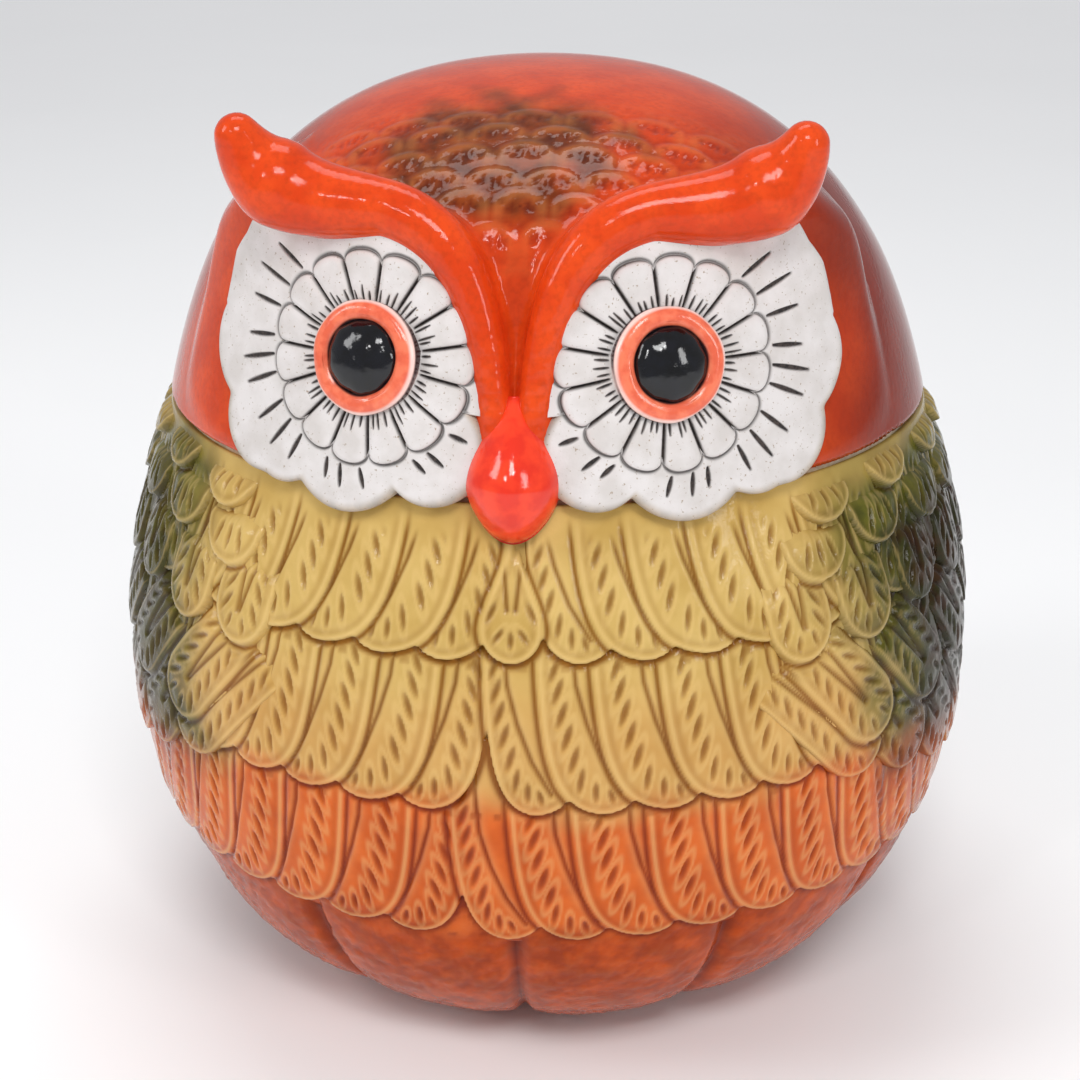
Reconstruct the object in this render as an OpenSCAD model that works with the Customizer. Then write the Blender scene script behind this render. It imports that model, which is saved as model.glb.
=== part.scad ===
// Owl coin bank in glazed pottery: a hollow jar with a lift-off head.
// Millimetres, +Z up. The origin is the centre of the foot, and the owl faces -Y.

/* [Jar] */
// Outer radius of the foot ring
foot_r = 46; // [42:1:50]
// Height of the foot ring
foot_h = 3; // [2:0.5:4]
// Radius of the body at its widest
body_r = 98; // [94:1:102]
// Height of the widest part of the body
widest_z = 80; // [74:1:86]
// Thickness of the clay
wall = 6; // [5:0.5:7]
// Radius of the jar's mouth
mouth_r = 76; // [75:0.5:77]

/* [Head] */
// Height of the joint between jar and head
seam_z = 140; // [138:1:142]
// Outer radius at that joint
seam_r = 86; // [84:1:88]
// Gap between jar and head
seam_gap = 0.3; // [0.3:0.1:0.6]
// Height of the crown
crown_z = 212; // [208:1:216]
// Depth that the ring under the head reaches into the mouth
flange_h = 10; // [8:1:12]

/* [Coin slot] */
// Length of the slot
slot_w = 36; // [32:1:40]
// Height of the slot
slot_h = 5; // [4.5:0.5:6]
// Height of the slot above the table
slot_z = 176; // [172:1:180]

/* [Face] */
// Height of the eyes above the table
eye_z = 167; // [165:1:169]
// Direction of each eye from the middle of the face, in degrees
eye_turn = 20.5; // [19:0.5:22]
// Radius of the flower of petals
flower_r = 21.5; // [20:0.5:22]
// Number of petals round each eye
petals = 15; // [12:1:18]
// Outer radius of the iris ring
iris_r = 11.4; // [10.5:0.1:12]
// Radius of the pupil
pupil_r = 7.45; // [7:0.05:7.5]
// Thickness of the white eye discs
disc_t = 3.2; // [2.5:0.1:4]
// Thickness of the petals on them
petal_t = 1.2; // [1:0.1:1.5]

/* [Wings] */
// How far the wings stand out from the body
wing_t = 1.8; // [1.2:0.1:2.5]

/* [Hidden] */

ROUND = 180;        // facets of the preview; the surfaces are true curves
STEPS = 12;         // points along each curve of a profile
BROW_PUSH = 16;     // how far the crown is filled out towards the brows
head_z = seam_z + seam_gap;
floor_z = foot_h + wall;
flange_r = mouth_r - 1;
eye_r = 84.8;       // distance of each eye from the axis of the body
EYE_TILT = 14;      // how far the eyes look up, in degrees

// Profiles are cubic curves of [radius, height].
JAR_CURVES = [
    [[foot_r, foot_h], [foot_r + 36, foot_h], [body_r, 42], [body_r, widest_z]],
    [[body_r, widest_z], [body_r, 101], [seam_r + 6.5, 120], [seam_r, seam_z]]
];
DOME_CURVES = [
    [[seam_r, head_z], [seam_r - 12, 184], [52, crown_z], [0, crown_z]]
];
// The face plate is steeper than the dome behind it, and so is the forehead that backs it.
FACE_CURVES = [
    [[seam_r + 4.5, 130], [seam_r + 0.5, 148], [79, 170], [78, 190]],
    [[78, 190], [77.5, 203], [50, crown_z - 0.5], [0, crown_z - 0.5]]
];
FOREHEAD_CURVES = [
    [[seam_r - 2, 137], [seam_r - 3, 152], [77, 170], [75.5, 190]],
    [[75.5, 190], [75, 203], [50, crown_z - 0.5], [0, crown_z - 0.5]]
];

function bezier(c, t) =
    pow(1 - t, 3) * c[0] + 3 * pow(1 - t, 2) * t * c[1] + 3 * (1 - t) * t * t * c[2] + pow(t, 3) * c[3];
function slope(c, t) =
    let (d = 3 * pow(1 - t, 2) * (c[1] - c[0]) + 6 * (1 - t) * t * (c[2] - c[1]) + 3 * t * t * (c[3] - c[2]))
    d / norm(d);
// A point on a profile curve moved out along its normal by d.
function beside(c, t, d) = let (s = slope(c, t)) bezier(c, t) + d * [s[1], -s[0]];
// All curves of a profile as one list of points, moved out by d.
function profile(curves, d = 0) = [
    for (k = [0:len(curves) - 1]) for (i = [(k == 0 ? 0 : 1):STEPS]) beside(curves[k], i / STEPS, d)
];
function clear_of_axis(points) = [for (p = points) [max(p[0], 0), p[1]]];
function reversed(points) = [for (i = [len(points) - 1:-1:0]) points[i]];

module spin(points) rotate_extrude($fn = ROUND) polygon(points);

// A solid of revolution under a profile, closed down to its lowest height.
module under(curves, d = 0) {
    p = clear_of_axis(profile(curves, d));
    top = p[len(p) - 1];
    spin(concat([[0, p[0][1]]], p, top[0] > 0 ? [[0, top[1]]] : []));
}

// ---- Jar ----

module body_shell() {
    inside = [for (p = profile(JAR_CURVES, -wall)) if (p[1] < seam_z - 12) p];
    color("darkkhaki") spin(concat(
        [[0, foot_h]],
        profile(JAR_CURVES),
        [[mouth_r, seam_z], [mouth_r, seam_z - 7]],
        reversed(inside),
        [[0, floor_z]]
    ));
}

module foot_ring() {
    ring_w = 8;
    chamfer = 0.8;
    color("wheat") spin([
        [foot_r - ring_w, foot_h], [foot_r - ring_w, chamfer], [foot_r - ring_w + chamfer, 0],
        [foot_r - chamfer, 0], [foot_r, chamfer], [foot_r, foot_h]
    ]);
}

// Outline of a wing from the side, as [y, z]: shoulder, back edge and the tip that points down and back.
WING_CURVES = [
    [[-66, 112], [-66, 128], [-48, 133], [-20, 133]],
    [[-20, 133], [30, 133], [68, 118], [66, 50]],
    [[66, 50], [20, 46], [-66, 78], [-66, 112]]
];

module wing(side) {
    color("darkolivegreen") difference() {
        intersection() {
            under(JAR_CURVES, wing_t);
            mirror([side < 0 ? 1 : 0, 0, 0]) rotate([90, 0, 90]) linear_extrude(body_r + 20)
                polygon([for (c = WING_CURVES) for (i = [1:STEPS]) bezier(c, i / STEPS)]);
        }
        under(JAR_CURVES);
    }
}
module wing_left() wing(-1);
module wing_right() wing(1);

// ---- Head ----

// Everything above the joint.
module above_joint() {
    translate([0, 0, head_z + 50]) cube([220, 220, 100], center = true);
}

// The dome, and the forehead: the same dome pushed forward and trimmed to the steeper front.
// d moves both in or out along their normals.
module head_form(d = 0) {
    under(DOME_CURVES, d);
    intersection() {
        translate([0, -BROW_PUSH, 0]) under(DOME_CURVES, d);
        under(FOREHEAD_CURVES, d);
        above_joint();
    }
}

module head_shell() {
    seat_r = seam_r - 7;
    seat_h = 8;
    color("orangered") difference() {
        head_form();
        head_form(-wall);
        translate([0, 0, head_z - 1]) cylinder(r = seat_r, h = seat_h + 1, $fn = ROUND);
        translate([-slot_w / 2, 0, slot_z - slot_h / 2]) cube([slot_w, body_r, slot_h]);
    }
}

module lid_flange() {
    seat_r = seam_r - 7;
    thick = 5;
    chamfer = 1;
    color("wheat") spin([
        [flange_r - thick, seam_z - flange_h], [flange_r - chamfer, seam_z - flange_h],
        [flange_r, seam_z - flange_h + chamfer], [flange_r, head_z], [seat_r, head_z],
        [seat_r, head_z + thick], [flange_r - thick, head_z + thick]
    ]);
}

// Brow ridge: centre line in two curves, from the top of the beak to the free tip.
BROW_CURVES = [
    [[2.5, -84.5, 161], [5, -81, 182], [11, -78, 193.5], [26, -74, 196.5]],
    [[26, -74, 196.5], [37, -71.5, 199], [50, -64, 198], [54.5, -71, 207.5]]
];
BROW_RINGS = 14;    // rings along each of the two curves
BROW_SIDES = 20;
function brow_at(s) = s < 1 ? bezier(BROW_CURVES[0], s) : bezier(BROW_CURVES[1], s - 1);
// Half width across the ridge: it swells towards the horn and closes in a round tip.
function brow_width(s) = (2.4 + 4.2 * min(s, 1.5)) * sqrt(1 - pow(max(0, s - 1.68) / 0.33, 2));
function brow_ring(s) =
    let (
        c = brow_at(s),
        step = brow_at(min(s + 0.02, 2)) - brow_at(max(s - 0.02, 0)),
        along = step / norm(step),
        out = [c[0], c[1], 0] / norm([c[0], c[1]]),
        deep = out - (out * along) * along,
        n1 = deep / norm(deep),
        n2 = cross(along, n1),
        w = brow_width(s)
    )
    [for (j = [0:BROW_SIDES - 1]) let (a = 360 * j / BROW_SIDES) c + w * (0.85 * cos(a) * n1 + sin(a) * n2)];

module brow_form() {
    rings = [for (i = [0:2 * BROW_RINGS]) brow_ring(i / BROW_RINGS)];
    n = len(rings);
    points = [for (r = rings) for (p = r) p];
    sides = [
        for (i = [0:n - 2]) for (j = [0:BROW_SIDES - 1])
            let (a = i * BROW_SIDES + j, b = i * BROW_SIDES + (j + 1) % BROW_SIDES)
            [a, b, b + BROW_SIDES, a + BROW_SIDES]
    ];
    polyhedron(points, concat(
        [[for (j = [BROW_SIDES - 1:-1:0]) j]],
        sides,
        [[for (j = [0:BROW_SIDES - 1]) (n - 1) * BROW_SIDES + j]]
    ), convexity = 4);
}

// Outline of one side of the face plate from the front as [x, z]: the lower edge, a round cheek,
// the side up to the horn, and the line of the brow back down to the beak.
CHEEK_R = 7;
CHEEK = [79.5, 158];
function mask_outline() = concat(
    [[0, head_z]],
    [for (i = [0:6]) [CHEEK[0] - CHEEK_R + CHEEK_R * sin(15 * i), head_z + CHEEK_R - CHEEK_R * cos(15 * i)]],
    [for (i = [0:STEPS]) bezier([CHEEK, [78, 176], [64, 192], [51, 200]], i / STEPS)],
    [for (i = [9:-1:0]) [brow_at(i / 6)[0], brow_at(i / 6)[2]]],
    [[0, brow_at(0)[2]]]
);

// The face plate before the forehead and the beak are taken from its back. It ends on both cheeks
// at CHEEK_TURN degrees from the middle of the face.
CHEEK_TURN = 64;
module mask_form() {
    half = mask_outline();
    reach = 2 * body_r;
    intersection() {
        under(FACE_CURVES);
        translate([0, 0, head_z]) linear_extrude(reach) polygon(
            [[0, 0], reach * [-sin(CHEEK_TURN), -cos(CHEEK_TURN)], reach * [sin(CHEEK_TURN), -cos(CHEEK_TURN)]]
        );
        rotate([90, 0, 0]) linear_extrude(body_r)
            polygon(concat(half, [for (p = reversed(half)) if (p[0] > 0) [-p[0], p[1]]]));
    }
}
module face_mask() {
    color("tomato") difference() {
        mask_form();
        head_form();
        beak_form();
    }
}

module brow(side) {
    color("orangered") difference() {
        mirror([side < 0 ? 1 : 0, 0, 0]) brow_form();
        head_form();
        mask_form();
        disc_form(side);
        petals_form(side);
        beak_form();
    }
}
module brow_left() brow(-1);
module brow_right() brow(1);

// Beak: a drop turned about an axis that leans with the face.
BEAK_CURVES = [
    [[4, 0], [4.5, -8], [10.5, -11], [8.8, -16.5]],
    [[8.8, -16.5], [7.4, -22], [3.5, -27], [0, -27]]
];
BEAK_TOP = [0, -83.5, 161];
BEAK_LEAN = 12;
module beak_form() {
    translate(BEAK_TOP) rotate([-BEAK_LEAN, 0, 0])
        spin(concat([[0, 0]], clear_of_axis(profile(BEAK_CURVES))));
}
module beak() {
    color("red") difference() {
        beak_form();
        head_form();
        under(JAR_CURVES, 0.5);
        translate([0, 0, seam_z - 15]) cylinder(r = seam_r + 0.8, h = 15 + seam_gap, $fn = ROUND);
    }
}

// ---- Eyes ----

// Turns a solid made for the right eye, with its axis on +Z and its top upwards along +Y, into place.
module at_eye(side) {
    mirror([side < 0 ? 1 : 0, 0, 0]) rotate([0, 0, eye_turn])
        translate([0, -eye_r, eye_z]) rotate([90 - EYE_TILT, 0, 0]) children();
}
// A flat outline carried from in front of the face towards the axis, level with the table.
module towards_axis(side) {
    mirror([side < 0 ? 1 : 0, 0, 0]) rotate([0, 0, eye_turn]) translate([0, -20, eye_z])
        rotate([90, 0, 0]) linear_extrude(body_r) children();
}

// Scalloped disc, seen from the front with the eye at [0, 0]: round lobes, as [centre, radius], follow
// each other along the bottom and up the outer side, and points close it under the brow.
DISC_LOBES = [
    [[-15.5, -16.5], 9.2], [[4, -16.5], 13], [[25.5, -17], 11], [[30, -4], 11.5], [[31, 9], 10]
];
DISC_TOP = [[25, 20.5], [11, 20.5], [0, 18.5], [-9.5, 15], [-16.5, 9.5], [-22, 1], [-25, -8]];
function angle_of(v) = atan2(v[1], v[0]);
// The point where two neighbouring lobes cross on the outside.
function crossing(p, q) =
    let (
        d = norm(q[0] - p[0]),
        u = (q[0] - p[0]) / d,
        along = (d * d + p[1] * p[1] - q[1] * q[1]) / (2 * d),
        across = sqrt(p[1] * p[1] - along * along)
    )
    p[0] + along * u + across * [u[1], -u[0]];
function lobe_arc(k) =
    let (
        lobe = DISC_LOBES[k],
        last = len(DISC_LOBES) - 1,
        start = k == 0 ? -170 : angle_of(crossing(DISC_LOBES[k - 1], lobe) - lobe[0]),
        end = k == last ? 80 : angle_of(crossing(lobe, DISC_LOBES[k + 1]) - lobe[0]),
        sweep = (end - start + 360) % 360
    )
    [for (i = [0:8]) let (a = start + sweep * i / 8) lobe[0] + lobe[1] * [cos(a), sin(a)]];
module disc_outline() {
    polygon(concat([for (k = [0:len(DISC_LOBES) - 1]) for (p = lobe_arc(k)) p], DISC_TOP));
}
module disc_form(side) {
    difference() {
        intersection() {
            under(FACE_CURVES, disc_t);
            towards_axis(side) disc_outline();
        }
        under(FACE_CURVES);
    }
}
module eye_disc(side) {
    color("ghostwhite") difference() {
        disc_form(side);
        beak_form();
    }
}
module eye_disc_left() eye_disc(-1);
module eye_disc_right() eye_disc(1);

// Flower: a rim that dips between the petals.
function petal_rim(a) = flower_r - 1.6 * (1 - abs(cos(a * petals / 2)));
module petals_form(side) {
    points_round = petals * 8;
    difference() {
        intersection() {
            under(FACE_CURVES, disc_t + petal_t);
            towards_axis(side) polygon([
                for (i = [0:points_round - 1])
                    let (a = 360 * i / points_round) petal_rim(a) * [cos(a), 0.9 * sin(a)]
            ]);
        }
        under(FACE_CURVES, disc_t);
    }
}
module eye_petals(side) {
    color("white") petals_form(side);
}
module eye_petals_left() eye_petals(-1);
module eye_petals_right() eye_petals(1);

module ring_form(side) {
    bead = (iris_r - pupil_r - 0.05) / 2;
    at_eye(side) rotate_extrude($fn = ROUND) translate([iris_r - bead, 1]) circle(r = bead, $fn = 32);
}
module eye_ring(side) {
    color("coral") difference() {
        ring_form(side);
        under(FACE_CURVES, disc_t + petal_t);
    }
}
module eye_ring_left() eye_ring(-1);
module eye_ring_right() eye_ring(1);

module pupil(side) {
    dome_r = 9;
    rise = 4.5;
    color("black") difference() {
        at_eye(side) intersection() {
            translate([0, 0, rise - dome_r + 1]) sphere(r = dome_r, $fn = 64);
            translate([0, 0, -10]) cylinder(r = pupil_r, h = 20, $fn = 64);
        }
        under(FACE_CURVES, disc_t + petal_t);
    }
}
module pupil_left() pupil(-1);
module pupil_right() pupil(1);

body_shell();
foot_ring();
wing_left();
wing_right();
head_shell();
lid_flange();
face_mask();
brow_left();
brow_right();
beak();
eye_disc_left();
eye_disc_right();
eye_petals_left();
eye_petals_right();
eye_ring_left();
eye_ring_right();
pupil_left();
pupil_right();
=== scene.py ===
"""An owl coin bank in glazed pottery: a feathered jar with a lift-off head.

Shapes are worked out in millimetres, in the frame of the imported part: +Z up, the owl faces -Y.
The feathers are painted as relief on the unrolled wall of the jar, and the head is one smooth
field that is cut into its pieces. Azimuth is 0 at the middle of the face and grows towards +X.
"""

import math

import bmesh
import bpy
import numpy as np
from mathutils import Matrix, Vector


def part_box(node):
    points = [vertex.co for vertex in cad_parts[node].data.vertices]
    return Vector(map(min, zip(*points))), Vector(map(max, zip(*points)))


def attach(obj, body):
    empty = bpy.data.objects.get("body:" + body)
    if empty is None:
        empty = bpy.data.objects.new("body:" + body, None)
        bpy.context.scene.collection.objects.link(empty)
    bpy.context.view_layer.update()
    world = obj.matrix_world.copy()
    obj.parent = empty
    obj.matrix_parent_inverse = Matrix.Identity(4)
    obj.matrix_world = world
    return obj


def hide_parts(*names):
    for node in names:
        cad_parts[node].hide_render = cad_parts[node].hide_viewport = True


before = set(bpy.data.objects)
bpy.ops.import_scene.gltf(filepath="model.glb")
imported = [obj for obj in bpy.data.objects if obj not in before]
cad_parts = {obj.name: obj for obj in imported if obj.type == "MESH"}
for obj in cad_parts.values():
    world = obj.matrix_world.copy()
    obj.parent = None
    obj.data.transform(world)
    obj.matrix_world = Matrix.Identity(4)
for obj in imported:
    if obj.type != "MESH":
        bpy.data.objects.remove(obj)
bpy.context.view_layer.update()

MM = 0.001


def top_of(node):
    return np.array(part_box(node)[1]) / MM


def foot_of(node):
    return np.array(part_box(node)[0]) / MM


FOOT_R, _, FOOT_H = top_of("foot_ring")
BODY_R, _, SEAM_Z = top_of("body_shell")
HEAD_Z = foot_of("head_shell")[2]
CROWN_Z = top_of("head_shell")[2]
WIDEST_Z = 80
SEAM_R = BODY_R - 12
MOUTH_R = top_of("lid_flange")[0] - 3   # the flange is this much wider inside the head
WALL = 6

# ---- Camera ----


def add_camera():
    """Above eye level, a little to the owl's left, with a long lens."""
    camera = bpy.data.objects.new("camera", bpy.data.cameras.new("camera"))
    bpy.context.scene.collection.objects.link(camera)
    turn, look_down = math.radians(4.5), math.radians(21.49)
    distance, height = 0.4879, 0.290
    camera.location = (distance * math.sin(turn), -distance * math.cos(turn), height)
    camera.rotation_euler = (math.radians(90) - look_down, 0, turn)
    camera.data.sensor_width = 36
    camera.data.lens = 72.13
    camera.data.shift_x = -1 / 135
    camera.data.clip_start = 0.01
    bpy.context.scene.camera = camera


add_camera()

# ---- Curves and fields ----


def bezier(curve, t):
    """Points of a cubic curve at each t."""
    c = np.array(curve, float)
    t = np.asarray(t, float)[..., None]
    return ((1 - t) ** 3 * c[0] + 3 * (1 - t) ** 2 * t * c[1]
            + 3 * (1 - t) * t * t * c[2] + t ** 3 * c[3])


def chain(curves, steps=200):
    """Several curves, end to end, as one line of points."""
    t = np.linspace(0, 1, steps)
    return np.concatenate([bezier(c, t if k == 0 else t[1:]) for k, c in enumerate(curves)])


def bezier_through(points, steps):
    """A smooth line through points, as two arrays."""
    p = np.array(points, float)
    slope = np.gradient(p, axis=0)
    return chain([(p[i], p[i] + slope[i] / 3, p[i + 1] - slope[i + 1] / 3, p[i + 1])
                  for i in range(len(p) - 1)], steps).T


def smoothstep(low, high, x):
    t = np.clip((x - low) / (high - low), 0, 1)
    return t * t * (3 - 2 * t)


def bump(x, width):
    return np.exp(-(x / width) ** 2)


def rounded(gap, radius):
    """A quarter round: 0 at an edge and 1 from that radius inwards."""
    return np.sqrt(np.clip(1 - (1 - np.clip(gap / radius, 0, 1)) ** 2, 0, 1))


def soft_min(a, b, k):
    h = np.clip(k - np.abs(a - b), 0, None) / k
    return np.minimum(a, b) - h * h * k / 4


def soft_max(a, b, k):
    return -soft_min(-a, -b, k)


def mirrored(p):
    """The same points on the side where x is positive."""
    return np.concatenate([np.abs(p[:, :1]), p[:, 1:]], 1)


def from_stroke(u, v, start, end):
    """How far along a straight stroke each point is, 0 to 1, and its distance from the stroke."""
    p = np.array(start, float)
    step = np.array(end, float) - p
    along = np.clip(((u - p[0]) * step[0] + (v - p[1]) * step[1]) / (step @ step), 0, 1)
    return along, np.hypot(u - p[0] - along * step[0], v - p[1] - along * step[1])


def from_line(u, v, line, normals):
    """Squared distance to the nearest point of a line, and how far along its normal."""
    best = np.full(u.shape, 1e9)
    side = np.zeros(u.shape)
    for p, n in zip(line, normals):
        du, dv = u - p[0], v - p[1]
        d = du * du + dv * dv
        closer = d < best
        best[closer] = d[closer]
        side[closer] = (du * n[0] + dv * n[1])[closer]
    return best, side


def waves(points, length, seed, count=28):
    """Smooth uneven values, about -1 to 1, from sines that run in seeded directions."""
    rng = np.random.default_rng(seed)
    total = np.zeros(points.shape[:-1])
    for _ in range(count):
        direction = rng.normal(size=3)
        direction *= 2 * math.pi / (length * rng.uniform(0.7, 1.5) * np.linalg.norm(direction))
        total += np.sin(points @ direction + rng.uniform(0, 2 * math.pi))
    return total / math.sqrt(count)


class Profile:
    """The outline of a solid of revolution, [radius, height] from the bottom up."""

    def __init__(self, curves):
        self.points = chain(curves)
        step = np.diff(self.points, axis=0)
        self.length = np.concatenate([[0], np.cumsum(np.hypot(*step.T))])
        along = np.gradient(self.points, axis=0)
        along /= np.hypot(*along.T)[:, None]
        self.normal = np.stack([along[:, 1], -along[:, 0]], 1)

    def length_at(self, z):
        return np.interp(z, self.points[:, 1], self.length)

    def at(self, length, height=0.0):
        """Radius and height above the table of a point that far along, raised along the normal."""
        columns = [np.interp(length, self.length, c) for c in (*self.points.T, *self.normal.T)]
        return columns[0] + height * columns[2], columns[1] + height * columns[3]

    def radius(self, z):
        return np.interp(z, self.points[:, 1], self.points[:, 0])

    def distance_table(self):
        """Signed distance to the profile on a grid of radius and height, for fast lookups."""
        self.cell = 0.5
        self.low = np.array([0.0, 110.0])
        r, z = np.meshgrid(*(low + np.arange(0, 125, self.cell) for low in self.low), indexing="ij")
        best, side = from_line(r, z, self.points, self.normal)
        self.table = np.where(best < 8 ** 2, side, np.sqrt(best) * np.sign(side))
        return self

    def distance(self, p):
        """Signed distance of points in space, less than 0 inside."""
        q = (np.stack([np.hypot(p[..., 0], p[..., 1]), p[..., 2]], -1) - self.low) / self.cell
        q = np.clip(q, 0, np.array(self.table.shape) - 1.001)
        i = q.astype(int)
        f = q - i
        a, b = i[..., 0], i[..., 1]
        fa, fb = f[..., 0], f[..., 1]
        t = self.table
        return ((1 - fa) * ((1 - fb) * t[a, b] + fb * t[a, b + 1])
                + fa * ((1 - fb) * t[a + 1, b] + fb * t[a + 1, b + 1]))


# ---- Meshes ----


def make_piece(name, vertices, faces, body, slot, replaced, material, attributes=None):
    """A mesh in metres from points in millimetres, riding a body and standing for CAD nodes."""
    mesh = bpy.data.meshes.new(name)
    faces = np.asarray(faces, np.int32)
    corners = faces.shape[1]
    mesh.vertices.add(len(vertices))
    mesh.vertices.foreach_set("co", (np.asarray(vertices, float) * MM).astype(np.float32).ravel())
    mesh.loops.add(faces.size)
    mesh.loops.foreach_set("vertex_index", faces.ravel())
    mesh.polygons.add(len(faces))
    mesh.polygons.foreach_set("loop_start", np.arange(0, faces.size, corners, dtype=np.int32))
    mesh.polygons.foreach_set("use_smooth", np.ones(len(faces), bool))
    mesh.update(calc_edges=True)
    mesh.validate()
    for key, values in (attributes or {}).items():
        layer = mesh.attributes.new(key, "FLOAT", "POINT")
        layer.data.foreach_set("value", np.asarray(values, np.float32).ravel())
    mesh.materials.append(material)
    piece = bpy.data.objects.new(name, mesh)
    bpy.context.scene.collection.objects.link(piece)
    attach(piece, body)
    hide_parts(*replaced)
    return piece


def grid_faces(rows, columns, close_rows=False, close_columns=False, flip=False):
    """Quads of a grid of points that is stored row by row."""
    i = np.arange(rows if close_rows else rows - 1)
    j = np.arange(columns if close_columns else columns - 1)
    i, j = (a.ravel() for a in np.meshgrid(i, j, indexing="ij"))
    i2, j2 = (i + 1) % rows, (j + 1) % columns
    quads = np.stack([i * columns + j, i * columns + j2, i2 * columns + j2, i2 * columns + j], 1)
    return quads[:, ::-1] if flip else quads


def cap_faces(first, count, flip=False):
    """Quads that close a ring of an even count of points, the first of which has that index."""
    i = np.arange(count // 2 - 1)
    quads = first + np.stack([i, i + 1, count - 2 - i, count - 1 - i], 1)
    return quads[:, ::-1] if flip else quads


def slab_faces(rows, columns):
    """Quads of a plate: an outer grid, then an inner grid, and the walls between their edges."""
    outer = grid_faces(rows, columns)
    inner = grid_faces(rows, columns, flip=True) + rows * columns
    index = np.arange(rows * columns).reshape(rows, columns)
    edge = np.concatenate([index[0, :-1], index[:-1, -1], index[-1, :0:-1], index[:0:-1, 0]])
    after = np.roll(edge, -1)
    walls = np.stack([edge, edge + rows * columns, after + rows * columns, after], 1)
    return np.concatenate([outer, inner, walls])


def around(azimuth, radius, z):
    """Points at these azimuths in degrees, one row of points for each radius and height."""
    a = np.radians(azimuth)
    return np.stack([radius * np.sin(a), -radius * np.cos(a), z + 0 * a], -1)


# ---- Materials ----


def srgb(red, green, blue):
    """A colour given as it looks on a screen, 0 to 255, in the linear values that shaders use."""
    c = np.array([red, green, blue]) / 255
    return (*np.where(c <= 0.04045, c / 12.92, ((c + 0.055) / 1.055) ** 2.4), 1.0)


class Paint:
    """A material whose colour is built up in layers."""

    def __init__(self, name, roughness, specular=0.5):
        self.material = bpy.data.materials.new(name)
        self.material.use_nodes = True
        self.tree = self.material.node_tree
        self.shader = self.tree.nodes["Principled BSDF"]
        self.shader.inputs["Roughness"].default_value = roughness
        self.shader.inputs["Specular IOR Level"].default_value = specular
        self.place = self.add("ShaderNodeTexCoord").outputs["Object"]

    def add(self, kind, **settings):
        node = self.tree.nodes.new(kind)
        for key, value in settings.items():
            setattr(node, key, value)
        return node

    def put(self, socket, value):
        if isinstance(value, bpy.types.NodeSocket):
            self.tree.links.new(value, socket)
        else:
            socket.default_value = value

    def mask(self, name):
        return self.add("ShaderNodeAttribute", attribute_name=name).outputs["Fac"]

    def noise(self, size, low=0.4, high=0.6, detail=3.0):
        """Noise with grains of about that size in millimetres, spread between low and high."""
        node = self.add("ShaderNodeTexNoise")
        self.put(node.inputs["Vector"], self.place)
        node.inputs["Scale"].default_value = 1 / (size * MM)
        node.inputs["Detail"].default_value = detail
        spread = self.add("ShaderNodeMapRange", clamp=True)
        self.put(spread.inputs["Value"], node.outputs["Fac"])
        spread.inputs["From Min"].default_value = low
        spread.inputs["From Max"].default_value = high
        return spread.outputs["Result"]

    def math(self, operation, a, b):
        node = self.add("ShaderNodeMath", operation=operation, use_clamp=True)
        self.put(node.inputs[0], a)
        self.put(node.inputs[1], b)
        return node.outputs[0]

    def mix(self, amount, a, b, blend="MIX"):
        node = self.add("ShaderNodeMix", data_type="RGBA", blend_type=blend)
        self.put(node.inputs["Factor"], amount)
        self.put(node.inputs[6], a)
        self.put(node.inputs[7], b)
        return node.outputs[2]

    def mottle(self, size, a, b, low=0.4, high=0.6):
        """Two colours, as on a screen, in patches of about that size."""
        return self.mix(self.noise(size, low, high), srgb(*a), srgb(*b))

    def over(self, colour, mask, top, blend="MIX"):
        """Lays a colour over another where the mask of that name is."""
        return self.mix(self.mask(mask), colour, top, blend)

    def specks(self, colour, size, low, speck):
        """Small spots of a colour."""
        return self.mix(self.noise(size, low, 0.72, 2.0), colour, srgb(*speck))

    def roughness(self, smooth, rough, amount):
        node = self.add("ShaderNodeMapRange", clamp=True)
        self.put(node.inputs["Value"], amount)
        node.inputs["To Min"].default_value = smooth
        node.inputs["To Max"].default_value = rough
        self.put(self.shader.inputs["Roughness"], node.outputs["Result"])

    def grain(self, size, depth, amount):
        """Fine bumps of that size and depth in millimetres."""
        node = self.add("ShaderNodeBump")
        node.inputs["Distance"].default_value = depth * MM
        self.put(node.inputs["Strength"], amount)
        self.put(node.inputs["Height"], self.noise(size, 0.3, 0.7, 4.0))
        self.put(self.shader.inputs["Normal"], node.outputs["Normal"])

    def finish(self, colour):
        self.put(self.shader.inputs["Base Color"], colour)
        return self.material


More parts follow.
